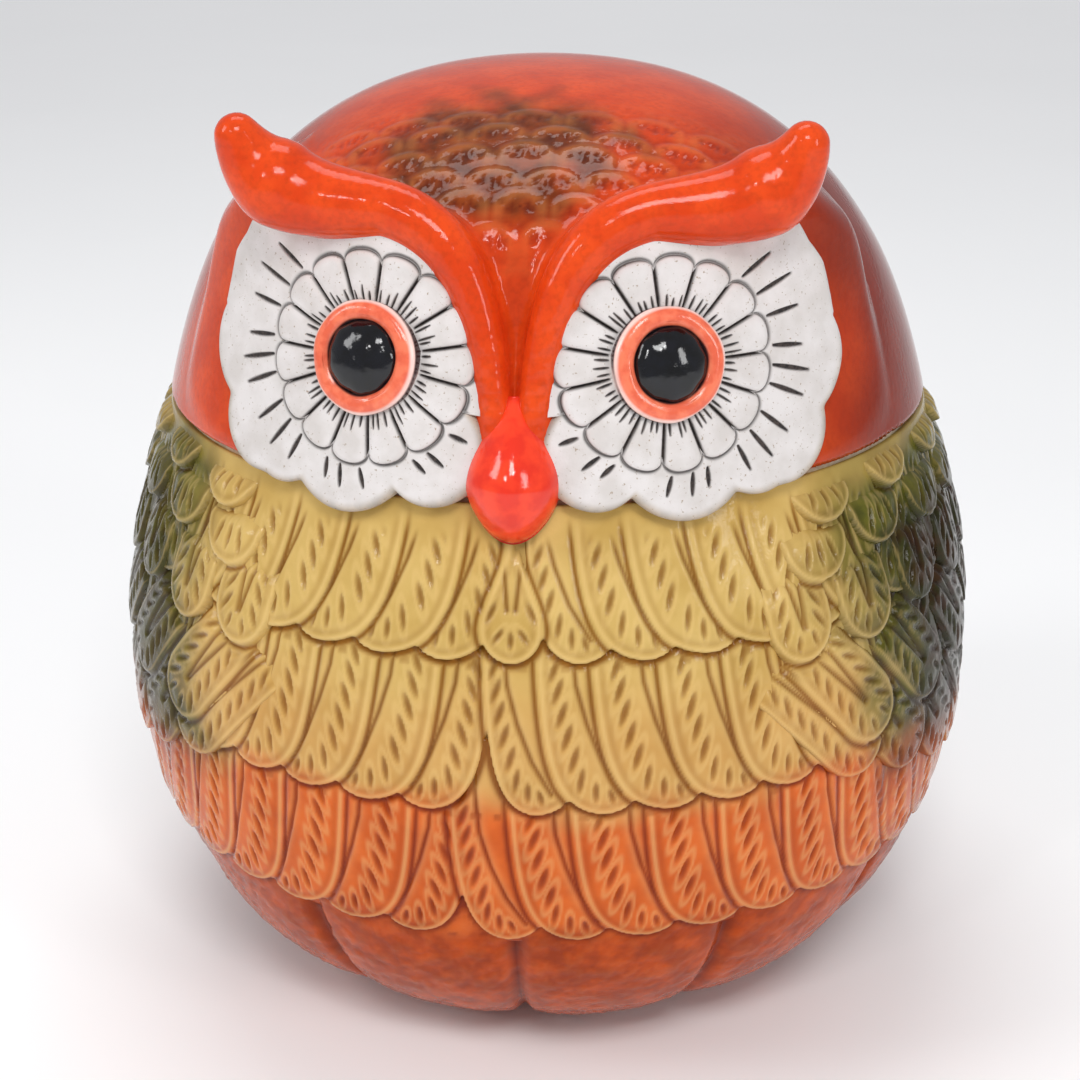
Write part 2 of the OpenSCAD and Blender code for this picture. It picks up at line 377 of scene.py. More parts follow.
def feather_glaze():
    """Translucent glaze over carved clay: darker in the cuts from pooled glaze and painted shade,
    paler on raised edges from thinner glaze and painted highlight.
    """
    p = Paint("feather_glaze", 0.13, 0.18)
    colour = p.mottle(14, (207, 174, 104), (190, 155, 84), 0.35, 0.65)
    colour = p.over(colour, "ember", p.mottle(9, (212, 100, 36), (196, 86, 28)))
    colour = p.over(colour, "olive", p.mottle(7, (84, 86, 20), (48, 58, 14)))
    colour = p.over(colour, "rust", p.mottle(6, (188, 72, 3), (156, 56, 3), 0.35))
    # darker glaze on the sides and back, deepened with painted shade on the +X side and low on the
    # sides
    colour = p.over(colour, "dark_glaze_and_shade", p.mottle(5, (34, 34, 14), (50, 26, 14)))
    # paler raised edges: thinner glaze with painted highlight, less of it on the dark sides
    thin_glaze_and_highlight = p.math("SUBTRACT", p.math("MULTIPLY", p.mask("ridge"), 0.5),
                  p.math("MULTIPLY", p.mask("dark_glaze_and_shade"), 0.4))
    colour = p.mix(thin_glaze_and_highlight, colour, srgb(230, 196, 130))
    # darker in cuts, folds and under edges: pooled glaze with painted shade
    colour = p.over(colour, "groove", srgb(170, 134, 84), "MULTIPLY")
    colour = p.over(colour, "bare", p.mottle(2, (226, 214, 194), (208, 194, 170)))
    p.roughness(0.12, 0.5, p.mask("matt"))
    p.grain(1.2, 0.10, 0.35)
    return p.finish(colour)


def head_glaze():
    """Orange glaze, darker towards the back and the +X side, partly its own tone and partly painted
    shade, with a brown patch on the crown.
    """
    p = Paint("head_glaze", 0.10, 0.24)
    colour = p.mottle(10, (216, 74, 24), (200, 62, 18), 0.38, 0.62)
    colour = p.over(colour, "brow", p.mottle(9, (224, 74, 24), (210, 62, 18)))
    streaks = p.math("MULTIPLY", p.noise(1.3, 0.45, 0.7), 0.35)
    colour = p.mix(streaks, colour, srgb(170, 54, 18))
    colour = p.over(colour, "patch", p.mottle(5, (118, 56, 18), (76, 40, 16)))
    # darker towards the back and the +X side: darker glaze with painted shade
    colour = p.over(colour, "dark_glaze_and_shade", p.mottle(14, (112, 26, 7), (92, 20, 6), 0.3, 0.7))
    # paler scallop edges: thinner glaze with painted highlight
    colour = p.mix(p.math("MULTIPLY", p.mask("ridge"), 0.4), colour, srgb(226, 150, 84))
    # darker in the cuts and round the scallops: pooled glaze with painted shade
    colour = p.over(colour, "groove", srgb(176, 120, 96), "MULTIPLY")
    p.grain(1.5, 0.08, 0.3)
    return p.finish(colour)


def bisque():
    """Unglazed white clay with specks and black ink in the cuts."""
    p = Paint("white_bisque", 0.62, 0.35)
    colour = p.mottle(6, (219, 214, 212), (205, 199, 195), 0.35, 0.65)
    colour = p.specks(colour, 0.6, 0.66, (168, 152, 136))
    colour = p.over(colour, "stain", p.mottle(3, (150, 120, 66), (112, 92, 52)))
    colour = p.over(colour, "ink", p.mottle(0.8, (34, 28, 28), (66, 56, 52)))
    p.grain(0.5, 0.05, 0.5)
    return p.finish(colour)


def iris_glaze():
    p = Paint("iris_glaze", 0.16)
    colour = p.mottle(2.5, (240, 122, 88), (226, 100, 70))
    colour = p.over(colour, "rim", srgb(250, 214, 204))
    colour = p.over(colour, "ink", srgb(60, 34, 34))
    p.grain(0.8, 0.05, 0.4)
    return p.finish(colour)


def pupil_glaze():
    p = Paint("pupil_glaze", 0.08)
    p.grain(1.0, 0.04, 0.4)
    return p.finish(p.mottle(3, (9, 9, 11), (15, 16, 22)))


def beak_glaze():
    p = Paint("beak_glaze", 0.09)
    colour = p.mottle(5, (244, 66, 32), (226, 48, 24))
    colour = p.over(colour, "groove", srgb(180, 90, 60), "MULTIPLY")
    p.grain(1.5, 0.08, 0.3)
    return p.finish(colour)


def bare_clay():
    p = Paint("bare_clay", 0.75, 0.3)
    colour = p.mottle(4, (228, 216, 196), (206, 190, 164), 0.35, 0.65)
    colour = p.specks(colour, 0.5, 0.62, (150, 128, 100))
    p.grain(0.5, 0.08, 0.6)
    return p.finish(colour)


FEATHERS, HEAD, BEAK = feather_glaze(), head_glaze(), beak_glaze()
BISQUE, IRIS, PUPIL, CLAY = bisque(), iris_glaze(), pupil_glaze(), bare_clay()

# ---- The jar's relief ----

JAR = Profile([
    [[FOOT_R, FOOT_H], [FOOT_R + 36, FOOT_H], [BODY_R, 42], [BODY_R, WIDEST_Z]],
    [[BODY_R, WIDEST_Z], [BODY_R, 101], [SEAM_R + 6.5, 120], [SEAM_R, SEAM_Z]],
])
MM_PER_DEGREE = math.radians(BODY_R - 2)
GIRTH = 360 * MM_PER_DEGREE
FRONT = 50          # degrees each side of the middle where the grid is fine
OUTWARD = 14.0      # how far a blade reaches to its outer side


def blade_share(d):
    """The share of its full width that a blade has at a distance up from its tip."""
    return 1 - np.exp(-(np.clip(d, 0.02, None) / 6.5) ** 0.6)


class Feather:
    """One feather on the unrolled wall. Its tip is at an azimuth and a height, and its axis leans
    outwards by lean millimetres for each millimetre down. side is +1 towards +X and -1 towards -X.
    It stands floor above the wall at its root and lift at its tip. A blade reaches inward to its
    inner side; the next one over it is next_x away and reaches next_inward.
    Coordinates in it: d up from the tip, t across, positive outwards."""

    def __init__(self, kind, azimuth, z, width, length, lean=0.0, side=1, round_tip=1.0, lift=1.5,
                 floor=0.3, inward=18.0, next_x=14.0, next_inward=18.0):
        self.kind, self.side, self.width, self.length = kind, side, width, length
        self.floor, self.lift = floor, lift
        self.inward, self.next_x, self.next_inward = inward, next_x, next_inward
        self.x = azimuth * MM_PER_DEGREE
        self.y = JAR.length_at(z)
        self.tilt = math.atan(lean)
        self.round = width * round_tip

    def local(self, x, y):
        dx, dy = (x - self.x) * self.side, y - self.y
        c, s = math.cos(self.tilt), math.sin(self.tilt)
        return dy * c - dx * s, dx * c + dy * s

    def half_width(self, d):
        taper = 0.25 + 0.75 * smoothstep(self.length, self.width, d) if self.kind == "fan" else 1.0
        return self.width * taper

    def edge(self, d, t):
        """Distance inside the outline, less than 0 outside."""
        if self.kind == "blade":
            return np.minimum(self.blade_edge(d, t), self.width)
        w = self.half_width(d)
        up = np.clip(self.round - d, 0, None) / self.round
        q = np.hypot(t / w, up) + 1e-6
        slope = np.hypot(t / (w * w), up / self.round) / q + 1e-6
        return np.minimum((1 - q) / slope, self.width)

    def blade_edge(self, d, t):
        """Of the distances along d and along t, the lesser one is right near both ends."""
        widest = np.where(t < 0, self.inward, OUTWARD)
        share = np.clip(np.abs(t) / widest, 0, 0.999)
        log = -np.log(1 - share)
        slope = 10.8 * log ** (2 / 3) / (widest * (1 - share))
        along = (d - 6.5 * log ** (5 / 3)) / np.hypot(1, slope)
        wide = blade_share(d)
        slope = widest * (1 - wide) * 0.6 / 6.5 * (np.clip(d, 0.02, None) / 6.5) ** -0.4
        across = (widest * wide - np.abs(t)) / np.hypot(1, slope)
        beyond = np.minimum(np.where(d < 0, d, 99),
                            np.where(np.abs(t) > widest, widest - np.abs(t), 99))
        return np.minimum(np.minimum(along, across), beyond)

    def rib_groove(self, d):
        """Where the cut beside a blade's rib is: the rib stands between it and the next feather."""
        covered = self.next_x - self.next_inward * blade_share(d)
        return covered - 0.5 - 3.4 * smoothstep(5, 34, d)

    def reach(self):
        return self.length + 2 * self.width


def slit(d, t, centre, angle, half_length, half_width):
    """How deep a lens-shaped cut is, 0 to 1, and how much its raised lips show."""
    a = math.radians(angle)
    u = (d - centre[0]) * math.cos(a) + (t - centre[1]) * math.sin(a)
    v = (t - centre[1]) * math.cos(a) - (d - centre[0]) * math.sin(a)
    q = (u / half_length) ** 2 + (v / half_width) ** 2
    return np.clip(1 - q, 0, 1) ** 0.7, bump(q - 2.3, 1.1)


def groove_line(d, t, start, end, width):
    """A straight cut from start to end, 0 to 1 deep."""
    return bump(from_stroke(d, t, start, end)[1], width)


def blade_cuts(f):
    """Barbs in a line down the middle of the vane, between its rib and its inner edge, and three
    round the tip. They are a little wider where the grid is coarse."""
    coarse = 1.2 if abs(f.x) > FRONT * MM_PER_DEGREE else 1
    for k in range(6):
        d = 12.6 + 4.7 * k
        groove = float(f.rib_groove(d))
        vane = groove + f.inward * blade_share(d)
        yield (d, groove - 0.5 * vane), 16 + 0.25 * (d - 12), 3.2, 0.8 * coarse
    tip = (8.0, -5.2, 9, 3.0), (5.4, -2.0, 0, 2.4), (4.4, 1.4, -14, 1.9)
    for d, t, angle, half_length in tip:
        yield (d, t * min(1, f.inward / 16)), angle, half_length, 0.7 * coarse

def fan_cuts(f):
    """Cuts that spread down from the end of the shaft."""
    for angle in (-34, 0, 34):
        a = math.radians(angle)
        yield (9.6 - 4.6 * math.cos(a), 4.6 * math.sin(a)), -angle, 2.0, 0.65
    for side in (-1, 1):
        yield (10.4, side * 4.2), -26 * side, 2.7, 0.7


def scallop_cuts(f):
    for t in (-0.38, 0.0, 0.38):
        yield (0.66 * f.width, t * f.width), -40 * t, 0.34 * f.width, 0.65


def quill_cuts(f):
    """Barbs on both sides of the shaft that point down and away from it."""
    for side in (-1, 1):
        for i in range(int((f.length - 5) / 4.6)):
            yield (7.8 + 4.6 * i, side * 0.52 * f.width), side * -28, 2.9, 0.7
        yield (4.4, side * 0.25 * f.width), side * -14, 2.0, 0.6


CUTS = {"blade": blade_cuts, "fan": fan_cuts, "scallop": scallop_cuts, "quill": quill_cuts}


def shaft_lines(f):
    """The cuts that leave the shaft standing beside or between them."""
    if f.kind == "blade":
        places = [(d, float(f.rib_groove(d))) for d in (5, 12, 20, 28, 42)]
        return list(zip(places, places[1:]))
    if f.kind == "fan":
        return [((11, side * 0.9), (f.length, side * 2.2)) for side in (-1, 1)]
    if f.kind == "quill":
        return [((0.36 * f.length, side * 0.25), (f.length, side * 1.7)) for side in (-1, 1)]
    return []


class Relief:
    """Height of the clay over the jar's wall and where its glaze is painted darker (pooled glaze
    with painted shade) or paler (thinner glaze with painted highlight), on a grid.
    """

    def __init__(self, x, y, base):
        self.x, self.y = np.meshgrid(x, y)
        self.columns, self.rows = x, y
        self.height = np.full(self.x.shape, float(base))
        self.groove = np.zeros(self.x.shape)
        self.ridge = np.zeros(self.x.shape)

    def windows(self, f, margin=0.0):
        """The parts of the grid that a feather reaches, on both sides of the back seam."""
        reach = f.reach() + margin
        for shift in (-GIRTH, 0, GIRTH):
            x = f.x + shift
            i = slice(*np.searchsorted(self.columns, (x - reach, x + reach)))
            j = slice(*np.searchsorted(self.rows, (f.y - 4 - margin, f.y + reach)))
            if i.stop > i.start and j.stop > j.start:
                yield (j, i), *f.local(self.x[j, i] - shift, self.y[j, i])

    def paint(self, f, fade_above=1e9):
        """Lays a feather over what is there."""
        for part, d, t in self.windows(f):
            e = f.edge(d, t)
            inside = smoothstep(-0.35, 0.35, e)
            if f.kind != "blade":
                inside = inside * smoothstep(f.length + 3, f.length - 5, d)
            detail = smoothstep(0.4, 1.6, e) * smoothstep(fade_above, fade_above - 5, self.y[part])
            height = f.floor + (f.lift - f.floor) * np.clip(1 - d / f.length, 0, 1)
            height += 0.5 * smoothstep(0, 5, e)
            bead = bump(e - 0.85, 0.5)
            height += 0.16 * bead
            # a paler bead along the edge (thinner glaze with painted highlight) and a darker line
            # inside it (pooled glaze with painted shade)
            groove, ridge = 0.25 * bump(e - 2.0, 0.7), 0.8 * bead
            for centre, angle, half_length, half_width in CUTS[f.kind](f):
                cut, lips = slit(d, t, centre, angle, half_length, half_width)
                # cuts painted darker and their lips paler: pooled and thinner glaze with painted
                # shade and painted highlight
                groove = np.maximum(groove, 0.8 * cut * detail)
                ridge = np.maximum(ridge, 0.5 * lips * detail)
                height += detail * (0.05 * lips - 0.7 * cut)
            lines = shaft_lines(f)
            if lines:
                line = np.max([groove_line(d, t, *ends, 0.5) for ends in lines], 0) * detail
                beside = np.max([groove_line(d, t, *ends, 1.3) for ends in lines], 0) * detail
                groove = np.maximum(groove, 0.9 * line)
                ridge = np.maximum(ridge, 0.5 * np.clip(beside - line, 0, 1))
                height -= 0.75 * line - 0.12 * beside
            under = 1 - inside
            # just outside a feather's edge what lies beneath is cut lower and painted darker: a
            # groove with painted shadow
            outside = bump(e + 0.75, 0.6) * under
            self.height[part] = self.height[part] * under + height * inside - 0.45 * outside
            self.groove[part] = (np.maximum(self.groove[part] * under, outside) * under
                                 + groove * inside)
            self.ridge[part] = self.ridge[part] * under * (1 - outside) + ridge * inside

    def shade_below(self, feathers):
        """Painted shade, with pooled glaze, along the edges of feathers that lie over this relief.
        """
        for f in feathers:
            for part, d, t in self.windows(f, 3):
                pooled_glaze_and_shade = bump(np.clip(-f.edge(d, t) - 0.5, 0, None), 0.7)
                pooled_glaze_and_shade *= smoothstep(f.length, f.length - 5, d)
                self.groove[part] = np.maximum(self.groove[part], pooled_glaze_and_shade)
                self.height[part] -= 0.25 * pooled_glaze_and_shade
                self.ridge[part] *= 1 - pooled_glaze_and_shade

    def masks(self, points, plain=None):
        """Groove, ridge and zones of colour at the grid's points and then at others: rows without
        cuts, or the grid's points once more."""
        masks = jar_zones(points)
        for key in ("groove", "ridge"):
            grid = getattr(self, key)
            more = grid if plain is None else np.zeros((plain, grid.shape[1]))
            masks[key] = np.concatenate([grid, more])
        return masks


def chest_row(middle, first, step, z, length, inward, fan=False):
    """A row of feathers round the whole jar. It parts at the azimuth middle, and each feather
    lies over the one nearer to the middle. first is how far the first one is on each side, and
    inward is how far a feather reaches towards the middle; the first ones reach less."""
    row = []
    for k in range(23):
        for side in (-1, 1):
            azimuth = middle + side * (first[side] + step * k)
            if abs(azimuth - middle) > 186:
                continue
            own = inward * min(1, (0.82 if side < 0 else 0.66) + 0.18 * k)
            after = inward * min(1, 0.82 + 0.18 * (k + 1))
            row.append(Feather("blade", azimuth, z, 7.3, length, side=side, inward=own,
                               next_x=step * MM_PER_DEGREE, next_inward=after))
    row.append(Feather("fan", middle - 180, z, 9.5, 34, round_tip=1.05, lift=1.7))
    if fan:
        row.append(Feather("fan", middle, z, 6.6, 24, round_tip=1.1, lift=1.7))
    return row


ROW_1 = chest_row(0, {-1: 8.3, 1: 8.3}, 8.3, 108.5, 30, 19.5, fan=True)
ROW_2 = chest_row(-3.5, {-1: 6.5, 1: 6.5}, 8.2, 76.5, 36, 17.5)
ROW_3 = chest_row(-5, {-1: 8, 1: 4.3}, 9.1, 44.5, 38, 18.5)


def wing_feathers(side):
    """Long feathers that sweep back, then short ones and the round ones of the shoulder on top."""
    sweeping = [(104 - 11 * k, 50 + 5 * k) for k in range(6)]
    long = [(92, 88), (78, 86), (64, 84), (51, 82)]
    short = [(101, 103), (88, 103), (75, 104), (62, 105), (49.5, 103), (38, 103)]
    lower = [(96, 118), (82, 119), (68, 120), (54, 121), (41.5, 118)]
    upper = [(104, 130), (90, 130.5), (75, 131), (59, 131), (44, 129)]
    # kind, places of the tips, width, length, lean, roundness of the tip, lift
    kinds = [
        ("quill", sweeping, 8.4, 40, 0.95, 1.3, 2.4),
        ("quill", long, 8.0, 30, 0.85, 1.2, 2.6),
        ("quill", short, 8.2, 20, 0.15, 1.1, 2.8),
        ("scallop", lower, 9.2, 13, 0.05, 1.0, 2.9),
        ("scallop", upper, 9.4, 9, 0.0, 1.0, 2.9),
    ]
    return [Feather(kind, side * azimuth, z, width, length, lean, side, round_tip, lift, floor=1.5)
            for kind, places, width, length, lean, round_tip, lift in kinds
            for azimuth, z in places]


def jar_zones(points):
    """Where each colour of glaze lies on the jar."""
    x, y, z = points[..., 0], points[..., 1], points[..., 2]
    azimuth = np.degrees(np.arctan2(x, -y))
    drift = waves(points, 40, 1)
    fine = waves(points, 12, 2)
    height = z + 2.2 * drift + 0.8 * fine
    turn = np.abs(azimuth) + 3 * drift + 1.5 * fine
    olive = smoothstep(38, 52, turn) * smoothstep(66, 84, height)
    olive = olive * (1 - 0.5 * smoothstep(132, 139, height))
    right = azimuth > 0
    # dark sides: darker glaze with painted shade, stronger on the +X side and low down towards the
    # foot
    dark_glaze_and_shade = smoothstep(47, 62, turn) * smoothstep(56, 78, height) * smoothstep(134, 118, height)
    low = smoothstep(70, 40, height) * smoothstep(50, 75, turn)
    ember = 0.8 * smoothstep(82, 73, height) + 0.2 * smoothstep(112, 86, height)
    back = smoothstep(60, 95, turn) * smoothstep(80, 60, height)
    return {
        "ember": ember * smoothstep(120, 60, turn),
        "rust": smoothstep(49, 41, height) + 0.8 * back,
        "olive": olive * np.where(right, 0.95, 0.9),
        "dark_glaze_and_shade": dark_glaze_and_shade * np.where(right, 0.92, 0.6) + 0.35 * low,
    }


FINE_STEP, ROW_STEP = 0.43, 0.5     # of the rings' grids, in front


def fine_columns(back_step):
    """Azimuths of the grid's columns, close together in front."""
    front = np.arange(-FRONT, FRONT, FINE_STEP / MM_PER_DEGREE)
    back = np.arange(FRONT, 360 - FRONT, back_step / MM_PER_DEGREE)
    return np.sort(np.concatenate([front, np.where(back > 180, back - 360, back)]))


def feather_ring(name, row, above, low_z, high_z, back_step, fade_above=1e9):
    """A row of feathers as a ring set into the jar's wall. Beyond its feathers it dips out of
    sight under the row below."""
    azimuths = fine_columns(back_step)
    lengths = np.arange(JAR.length_at(low_z), JAR.length_at(high_z), ROW_STEP)
    relief = Relief(azimuths * MM_PER_DEGREE, lengths, -1.6)
    for f in row:
        relief.paint(f, fade_above)
    relief.shade_below(above)
    shown = smoothstep(fade_above + 4, fade_above - 3, relief.y)
    relief.height = 0.9 + (relief.height - 0.9) * shown
    relief.groove, relief.ridge = relief.groove * shown, relief.ridge * shown
    back = np.linspace(lengths[-1], lengths[0], 7)
    points = [around(azimuths, *JAR.at(length, h)) for length, h in zip(lengths, relief.height)]
    points = np.stack(points + [around(azimuths, *JAR.at(length, -3.2)) for length in back])
    return make_piece(name, points.reshape(-1, 3), grid_faces(*points.shape[:2], True, True),
                      "jar", "mustard_glaze", ["body_shell"], FEATHERS,
                      relief.masks(points, len(back)))


def wing_piece(name, side):
    """The wing as a plate of overlapping feathers, sunk in the jar's wall beyond them."""
    x = np.concatenate([np.arange(24, 76, 0.52 / MM_PER_DEGREE),
                        np.arange(76, 122, 0.85 / MM_PER_DEGREE)])
    if side < 0:
        x = -x[::-1]
    y = np.arange(JAR.length_at(43), JAR.length_at(138.6), 0.56)
    relief = Relief(x * MM_PER_DEGREE, y, -1.6)
    for f in wing_feathers(side):
        relief.paint(f)
    outer = [around(x, *JAR.at(length, h)) for length, h in zip(y, relief.height)]
    points = np.stack(outer + [around(x, *JAR.at(length, -3.4)) for length in y])
    return make_piece(f"{name}_feathers", points.reshape(-1, 3), slab_faces(len(y), len(x)),
                      "jar", "olive_glaze", [name], FEATHERS, relief.masks(points))


def jar_wall():
    """The hollow jar itself: lobes with a leathery skin below the feathers, rim, inside, floor."""
    lobes, columns = 12, 600
    azimuths = np.linspace(-180, 180, columns, endpoint=False)
    skin_top = JAR.length_at(52)
    lengths = np.concatenate([np.arange(0, skin_top, 1.0),
                              np.linspace(skin_top, JAR.length_at(SEAM_Z - 1.2), 22)])
    relief = Relief(azimuths * MM_PER_DEGREE, lengths, 0.0)
    y = relief.y
    phase = 1 - 2 * np.abs(azimuths / (360 / lobes) % 1 - 0.5)
    fold = smoothstep(4, 20, y) * smoothstep(skin_top + 8, skin_top - 6, y)
    relief.height += fold * (-1.9 * bump(phase, 0.085) - 1.1 * bump(phase, 0.35) + 0.5)
    # darker along the folds between the lobes: pooled glaze with painted shade
    relief.groove = 0.9 * fold * bump(phase, 0.05)
    flat = np.stack([around(azimuths, r, h) for r, h in zip(*JAR.at(lengths))])
    leather = waves(flat, 2.2, 5, 40) + 0.8 * waves(flat, 4.5, 6, 30)
    skin = smoothstep(skin_top + 4, skin_top - 4, y) * smoothstep(1, 10, y)
    relief.height += 0.09 * leather * skin
    # paler tops and darker hollows of the leathery skin: thinner and pooled glaze with painted
    # highlight and painted shade
    relief.ridge = 0.05 * np.clip(leather, 0, 1) * skin
    relief.groove = np.maximum(relief.groove, 0.2 * np.clip(-leather, 0, 1) * skin)
    relief.shade_below(ROW_3)
    relief.height[lengths > skin_top + 2] = -0.8
    outer = [around(azimuths, *JAR.at(length, h)) for length, h in zip(lengths, relief.height)]
    inside = [p for p in JAR.points[::-6] - WALL * JAR.normal[::-6] if 14 < p[1] < SEAM_Z - 12]
    rim = [(SEAM_R - 0.4, SEAM_Z - 0.4), (SEAM_R - 1.2, SEAM_Z), (MOUTH_R + 1, SEAM_Z),
           (MOUTH_R, SEAM_Z - 1), (MOUTH_R, SEAM_Z - 7)]
    floor_z = FOOT_H + WALL
    floor = [(48, floor_z + 0.6), (40, floor_z), (0.05, floor_z), (0.05, FOOT_H),
             (FOOT_R - 9, FOOT_H)]
    bare = [around(azimuths, r, h) for r, h in [*rim, *inside, *floor]]
    points = np.stack(outer + bare)
    masks = relief.masks(points, len(bare))
    blank = np.zeros((len(bare), columns))
    masks["matt"] = np.concatenate([0.3 * skin, blank + 1])
    masks["bare"] = np.concatenate([0 * skin, blank + 1])
    return make_piece("body_shell_glazed", points.reshape(-1, 3),
                      grid_faces(*points.shape[:2], True, True),
                      "jar", "mustard_glaze", ["body_shell"], FEATHERS, masks)


def leave_bare(node):
    """Gives a CAD node that is kept the look of bare clay."""
    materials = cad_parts[node].data.materials
    materials.clear()
    materials.append(CLAY)


def make_jar():
    jar_wall()
    feather_ring("chest_row_top", ROW_1, [], 105, SEAM_Z - 0.3, 0.55, JAR.length_at(134.5))
    feather_ring("chest_row_middle", ROW_2, ROW_1, 73.5, 121, 0.82)
    feather_ring("chest_row_bottom", ROW_3, ROW_2, 41, 93, 0.96)
    wing_piece("wing_left", -1)
    wing_piece("wing_right", 1)
    leave_bare("foot_ring")


make_jar()

# ---- The head as one smooth field ----

DOME = Profile([
    [[SEAM_R, HEAD_Z], [SEAM_R - 12, 184], [52, CROWN_Z], [0, CROWN_Z]],
]).distance_table()
FACE = Profile([
    [[SEAM_R + 4.5, 130], [SEAM_R + 0.5, 148], [79, 170], [78, 190]],
    [[78, 190], [77.5, 203], [50, CROWN_Z - 0.5], [0, CROWN_Z - 0.5]],
]).distance_table()
FOREHEAD = Profile([
    [[SEAM_R - 2, 137], [SEAM_R - 3, 152], [77, 170], [75.5, 190]],
    [[75.5, 190], [75, 203], [50, CROWN_Z - 0.5], [0, CROWN_Z - 0.5]],
]).distance_table()
BROW_PUSH = 16
CHEEK_TURN = math.radians(64)
CHEEK_SIDE = bezier([[79.5, 158], [78, 176], [64, 192], [51, 200]], np.linspace(0, 1, 30))
BROW_LINE = chain([
    [[3.6, -86.5, 153], [4.6, -82, 179], [11, -78, 193.2], [26, -74, 196]],
    [[26, -74, 196], [37, -71.5, 196.8], [50, -66, 194], [55.2, -71, 208.8]],
], 46)
BROW_ROOM = 14      # beyond this distance a brow has no effect
SLOT_W, SLOT_H, SLOT_Z = 36, 5, 176
SLOT_Y = 58         # the slot starts here and runs through the wall
HEAD_MIDDLE = np.array([0.0, -8.0, 150.0])


def brow_widths():
    """The ridge widens up to the horn, which is a blunt cone."""
    s = np.linspace(0, 2, len(BROW_LINE))
    ridge = 1.4 + 4.0 * smoothstep(-0.35, 1.0, s) + 5.2 * np.clip(s - 1, 0, None)
    return np.minimum(ridge, 4.5 + 5.9 * np.clip((2 - s) / 0.45, 0, 1) ** 0.9)


BROW_WIDTHS = brow_widths()


def brow_distance(q):
    """Signed distance to the brow ridge of the half where x is positive."""
    near = (q[:, 2] > 150) & (q[:, 1] < -40) & (q[:, 0] < 80)
    d = np.full(len(q), float(BROW_ROOM))
    p = q[near]
    best = np.full(len(p), float(BROW_ROOM))
    for centre, width in zip(BROW_LINE, BROW_WIDTHS):
        gap = p - centre
        best = np.minimum(best, np.sqrt(np.einsum("ij,ij->i", gap, gap)) - width)
    d[near] = best
    return d


def above_brow(q):
    """Distance above the line of the brow, seen from the front, less than 0 below it."""
    line = BROW_LINE[:, [0, 2]]
    along = np.gradient(line, axis=0)
    normal = np.stack([-along[:, 1], along[:, 0]], 1) / np.hypot(*along.T)[:, None]
    return from_line(q[:, 0], q[:, 2], line, normal)[1]


def form_distance(q):
    """The dome, filled out towards the brows."""
    pushed = soft_max(DOME.distance(q + [0, BROW_PUSH, 0]), FOREHEAD.distance(q), 6)
    return soft_min(DOME.distance(q), pushed, 10)


def mask_distance(q):
    """The face plate between the two cheek edges, with round edges."""
    side = q[:, 0] - np.interp(q[:, 2], CHEEK_SIDE[:, 1], CHEEK_SIDE[:, 0])
    wedge = q[:, 0] * math.cos(CHEEK_TURN) + q[:, 1] * math.sin(CHEEK_TURN)
    outline = soft_max(soft_max(side * 0.8, wedge, 6), HEAD_Z - q[:, 2], 12)
    outline = soft_max(outline, above_brow(q), 2)
    return soft_max(FACE.distance(q), outline, 4)


def slot_distance(q):
    """The coin slot through the back of the head."""
    across = np.maximum(q[:, 0] - SLOT_W / 2, np.abs(q[:, 2] - SLOT_Z) - SLOT_H / 2)
    return np.maximum(across, SLOT_Y - q[:, 1])


# Scallops on the crown: a runs across the head and b up from the beak round the forehead.
CROWN_CENTRE = (-22, 148)
CROWN_ARC = 65
SCALLOP_W, SCALLOP_ROW = 6.4, 7.2


def crown_relief(p):
    """Height, groove and ridge of the scallop feathers that fan up between the brows."""
    b = CROWN_ARC * np.arctan2(p[:, 2] - CROWN_CENTRE[1], CROWN_CENTRE[0] - p[:, 1])
    a = p[:, 0] * (1 + 0.25 * smoothstep(80, 20, b))
    height, groove, ridge = (np.zeros(len(p)) for _ in range(3))
    for k in range(11, -1, -1):
        tip = 26 + SCALLOP_ROW * k
        shift = SCALLOP_W if k % 2 else 0
        across = (a - shift + SCALLOP_W) % (2 * SCALLOP_W) - SCALLOP_W
        d = tip + 0.8 * np.sin(2.3 * k + np.round((a - shift) / SCALLOP_W / 2)) - b
        up = np.clip(0.8 * SCALLOP_W - d, 0, None) / 0.8
        e = SCALLOP_W - np.hypot(across, up)
        inside = smoothstep(-1.1, 1.1, e) * (d > -1.5)
        cuts = sum(slit(d, across, (4.6 - 0.35 * abs(m), 1.75 * m), -11 * m, 2.1, 0.5)[0]
                   for m in (-2, -1, 0, 1, 2))
        own = 0.34 * np.clip(1 - d / 10, 0, 1) - 0.2 * cuts
        under = 1 - inside
        # darker round and in the scallops, paler on their edges: pooled and thinner glaze with
        # painted shade and painted highlight
        outside = bump(e + 0.9, 1.1) * under
        height = height * under + own * inside - 0.06 * outside
        groove = np.maximum(groove * under, 0.4 * outside) * under + 0.7 * cuts * inside
        ridge = ridge * under + 0.45 * bump(e - 1.3, 1.4) * inside
    half = mirrored(p)
    shown = smoothstep(26, 52, b) * smoothstep(92, 76, b) * smoothstep(1, 5, brow_distance(half))
    shown *= smoothstep(50, 38, half[:, 0]) * (p[:, 1] < 0)
    return height * shown, groove * shown, ridge * shown


def plain_distance(q):
    """The dome with its face plate."""
    return soft_min(form_distance(q), mask_distance(q), 1.5)


def head_distance(p):
    q = mirrored(p)
    whole = soft_min(plain_distance(q), brow_distance(q), 6)
    whole = soft_max(whole, HEAD_Z - q[:, 2], 1.5)
    return soft_max(whole, -slot_distance(q), 1.5) - crown_relief(p)[0]


def gradient(field, p, step=0.15):
    """Direction in which a field grows, from four samples round each point."""
    corners = np.array([[1, -1, -1], [-1, -1, 1], [-1, 1, -1], [1, 1, 1]])
    return sum(np.outer(field(p + step * c), c) for c in corners) / (4 * step)


